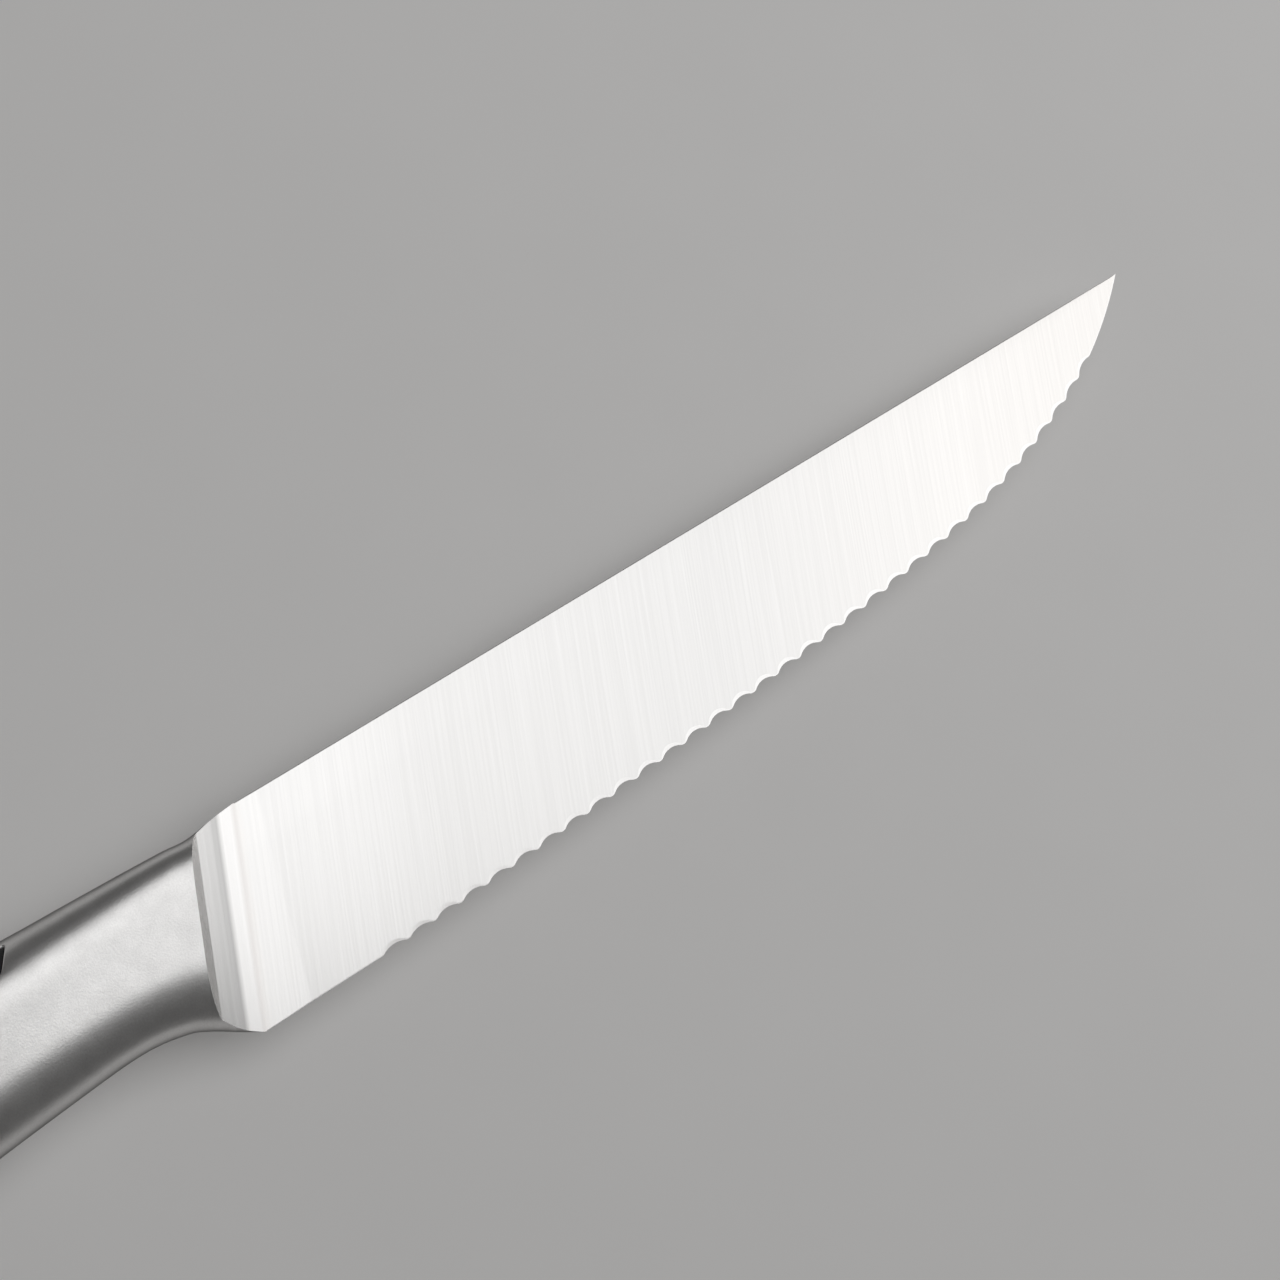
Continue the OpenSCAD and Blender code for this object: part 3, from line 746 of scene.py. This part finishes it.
def moulded_polyamide():
    """Black polyamide with a spark-eroded texture, which keeps its gloss low and even. The texture is
    drawn about three times its real width, to show."""
    material, surface = named_material("black_polyamide")
    surface.inputs["Roughness"].default_value = 0.55
    surface.inputs["IOR"].default_value = 1.53
    at = add(material, "ShaderNodeTexCoord").outputs["Object"]
    texture = {"Vector": at, "Scale": 1000 / GRAIN_WIDTH, "Detail": 2.0, "Roughness": 0.6}
    grain = add(material, "ShaderNodeTexNoise", texture).outputs["Fac"]
    ramp = add(material, "ShaderNodeValToRGB", {"Fac": grain})
    ramp.color_ramp.elements[0].position = 0.35
    ramp.color_ramp.elements[0].color = shade("#161616")
    ramp.color_ramp.elements[1].position = 0.7
    ramp.color_ramp.elements[1].color = shade("#262727")
    relief = {"Height": grain, "Strength": 1.0, "Distance": GRAIN_DEPTH * 0.001}
    bump = add(material, "ShaderNodeBump", relief).outputs["Normal"]
    material.node_tree.links.new(ramp.outputs["Color"], surface.inputs["Base Color"])
    material.node_tree.links.new(bump, surface.inputs["Normal"])
    return material


def strip_mesh(lower):
    """Points and faces of a strip of the right shell, on its upper or lower shoulder."""
    edge = [FIT_GAP + d for d, depth in STRIP_EDGE]
    columns = upper_columns(edge)
    if lower:
        columns = mirrored(columns)
    ends = [rows_near(end, edge + CORNER_STEPS) for end in (0, 1)]
    u, angle, inside = grooved_grid(ends[0] + MIDDLE_ROWS + ends[1][::-1], columns, FIT_GAP)
    face = section(u, angle, np.interp(inside, *zip(*STRIP_EDGE)))
    back = section(u, angle, GROOVE_DEPTH - FIT_GAP)
    m, n = face.shape[:2]
    k = m * n
    faces = grid_faces(m, n, 0) + grid_faces(m, n, k, flip=True)
    for j in range(n - 1):
        end = (m - 1) * n + j
        faces.append((j, k + j, k + j + 1, j + 1))
        faces.append((end, end + 1, k + end + 1, k + end))
    for i in range(m - 1):
        a, b = i * n, (i + 1) * n
        faces.append((a, b, k + b, k + a))
        faces.append((a + n - 1, k + a + n - 1, k + b + n - 1, b + n - 1))
    return np.concatenate([face.reshape(-1, 3), back.reshape(-1, 3)]), faces


black_plastic = moulded_polyamide()
for shoulder in ("upper", "lower"):
    strip_points, strip_faces = strip_mesh(shoulder == "lower")
    for side, facing in (("right", 1), ("left", -1)):
        name = shoulder + "_" + side
        points = strip_points * [1, 1, facing]
        kinds = [0] * len(strip_faces)
        skins = [black_plastic]
        strip = mesh_piece("moulded_strip_" + name, points, strip_faces, kinds, skins, STRIP_CREASE)
        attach(strip, "root")
        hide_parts("grip_strip_" + name)


# Resin filling
# Cast epoxy, poured round the tang while the knife stands on its butt. It is closed in by the
# shells, amber and full of fine filler.
FILLER_GRAIN = 0.6


def finish_node(node, material):
    """Gives a kept part its material."""
    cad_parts[node].data.materials.clear()
    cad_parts[node].data.materials.append(material)


def cast_epoxy():
    """Filled epoxy: dull amber, slightly mottled by the mineral filler that has settled in it."""
    material, surface = named_material("cast_epoxy")
    surface.inputs["Roughness"].default_value = 0.5
    surface.inputs["IOR"].default_value = 1.55
    at = add(material, "ShaderNodeTexCoord").outputs["Object"]
    mottle = {"Vector": at, "Scale": 1000 / FILLER_GRAIN, "Detail": 3.0, "Roughness": 0.6}
    grain = add(material, "ShaderNodeTexNoise", mottle).outputs["Fac"]
    ramp = add(material, "ShaderNodeValToRGB", {"Fac": grain})
    ramp.color_ramp.elements[0].color = shade("#A98E63")
    ramp.color_ramp.elements[1].color = shade("#D6C299")
    material.node_tree.links.new(ramp.outputs["Color"], surface.inputs["Base Color"])
    return material


finish_node("handle_filler", cast_epoxy())


# Balance weight
# A slug of plain drawn steel, pressed into the butt end of the cavity so that the knife balances
# at the bolster. Nobody sees it, so it keeps the dark skin of the mill.
SCALE_PATCH = 3


def mill_steel():
    """Steel with its mill scale: dark, dull, bluish grey with browner patches."""
    material, surface = named_material("mill_scale_steel")
    surface.inputs["Metallic"].default_value = 1.0
    surface.inputs["Roughness"].default_value = 0.6
    at = add(material, "ShaderNodeTexCoord").outputs["Object"]
    patches = {"Vector": at, "Scale": 1000 / SCALE_PATCH, "Detail": 4.0, "Roughness": 0.7}
    grain = add(material, "ShaderNodeTexNoise", patches).outputs["Fac"]
    ramp = add(material, "ShaderNodeValToRGB", {"Fac": grain})
    ramp.color_ramp.elements[0].color = shade("#5A5552")
    ramp.color_ramp.elements[1].color = shade("#8A8D92")
    material.node_tree.links.new(ramp.outputs["Color"], surface.inputs["Base Color"])
    return material


finish_node("balance_weight", mill_steel())


# Studio
# A pale matt table under one long softbox that leans down past the point, with a dim grey room round
# it. The camera looks down on the right side of the blade, from over the bolster. Places and sizes are
# in metres.
TABLE_SIZE = 3.0
MOTTLES_PER_METRE = 60.0
SOFTBOX_SIZE = (1.5, 0.38)
SOFTBOX_AT = (0.571, -0.083, 0.42)
SOFTBOX_TILT = math.radians(16)
SOFTBOX_TURN = math.radians(-20)
SOFTBOX_RADIANCE = 1.2
ROOM_LIGHT = 0.11
# Light that the table shows to the camera and in the steel, without lighting the knife
TABLE_GLOW = 0.1
CAMERA_AT = (-0.02920, 0.002678, 0.23325)
CAMERA_RIGHT = (0.81011, -0.52284, 0.26523)
CAMERA_UP = (0.49764, 0.85243, 0.16040)
CAMERA_LENS = 62
CAMERA_SENSOR = 36


def table_paint():
    """Matt white paint on board, with the faint mottle of a roller."""
    material, surface = named_material("matt_paint")
    surface.inputs["Roughness"].default_value = 0.9
    surface.inputs["Specular IOR Level"].default_value = 0.1
    at = add(material, "ShaderNodeTexCoord").outputs["Object"]
    mottle = {"Vector": at, "Scale": MOTTLES_PER_METRE, "Detail": 2.0}
    grain = add(material, "ShaderNodeTexNoise", mottle).outputs["Fac"]
    ramp = add(material, "ShaderNodeValToRGB", {"Fac": grain})
    ramp.color_ramp.elements[0].color = shade("#EAE9E8")
    ramp.color_ramp.elements[1].color = shade("#EEEDEC")
    material.node_tree.links.new(ramp.outputs["Color"], surface.inputs["Base Color"])
    ray = add(material, "ShaderNodeLightPath").outputs
    seen = ray["Is Camera Ray"]
    for other in (ray["Is Glossy Ray"], ray["Is Transmission Ray"]):
        either = {0: seen, 1: other}
        seen = add(material, "ShaderNodeMath", either, operation="MAXIMUM").outputs["Value"]
    share = {0: seen, 1: TABLE_GLOW}
    glow = add(material, "ShaderNodeMath", share, operation="MULTIPLY").outputs["Value"]
    surface.inputs["Emission Color"].default_value = shade("#ECEBEA")
    material.node_tree.links.new(glow, surface.inputs["Emission Strength"])
    return material


table_mesh = bpy.data.meshes.new("table")
edge = TABLE_SIZE / 2
corners = [(-edge, -edge, 0), (edge, -edge, 0), (edge, edge, 0), (-edge, edge, 0)]
table_mesh.from_pydata(corners, [], [(0, 1, 2, 3)])
table_mesh.materials.append(table_paint())
table = bpy.data.objects.new("table", table_mesh)
bpy.context.scene.collection.objects.link(table)

world = bpy.data.worlds.new("room")
bpy.context.scene.world = world
world.use_nodes = True
world.node_tree.nodes["Background"].inputs["Color"].default_value = shade("#E8E7E6")
world.node_tree.nodes["Background"].inputs["Strength"].default_value = ROOM_LIGHT

softbox = bpy.data.lights.new("softbox", "AREA")
softbox.shape = "RECTANGLE"
softbox.size, softbox.size_y = SOFTBOX_SIZE
softbox.energy = SOFTBOX_RADIANCE * math.pi * SOFTBOX_SIZE[0] * SOFTBOX_SIZE[1]
softbox_lamp = bpy.data.objects.new("softbox", softbox)
softbox_lamp.location = SOFTBOX_AT
softbox_lamp.rotation_euler = (0, SOFTBOX_TILT, SOFTBOX_TURN)
softbox_lamp.visible_camera = False
bpy.context.scene.collection.objects.link(softbox_lamp)

camera_data = bpy.data.cameras.new("camera")
camera_data.lens = CAMERA_LENS
camera_data.sensor_width = CAMERA_SENSOR
camera_data.clip_start = 0.01
camera = bpy.data.objects.new("camera", camera_data)
right, up = Vector(CAMERA_RIGHT), Vector(CAMERA_UP)
axes = Matrix([right, up, right.cross(up)]).transposed()
camera.matrix_world = Matrix.Translation(CAMERA_AT) @ axes.to_4x4()
bpy.context.scene.collection.objects.link(camera)
bpy.context.scene.camera = camera
bpy.context.scene.view_settings.view_transform = "Standard"
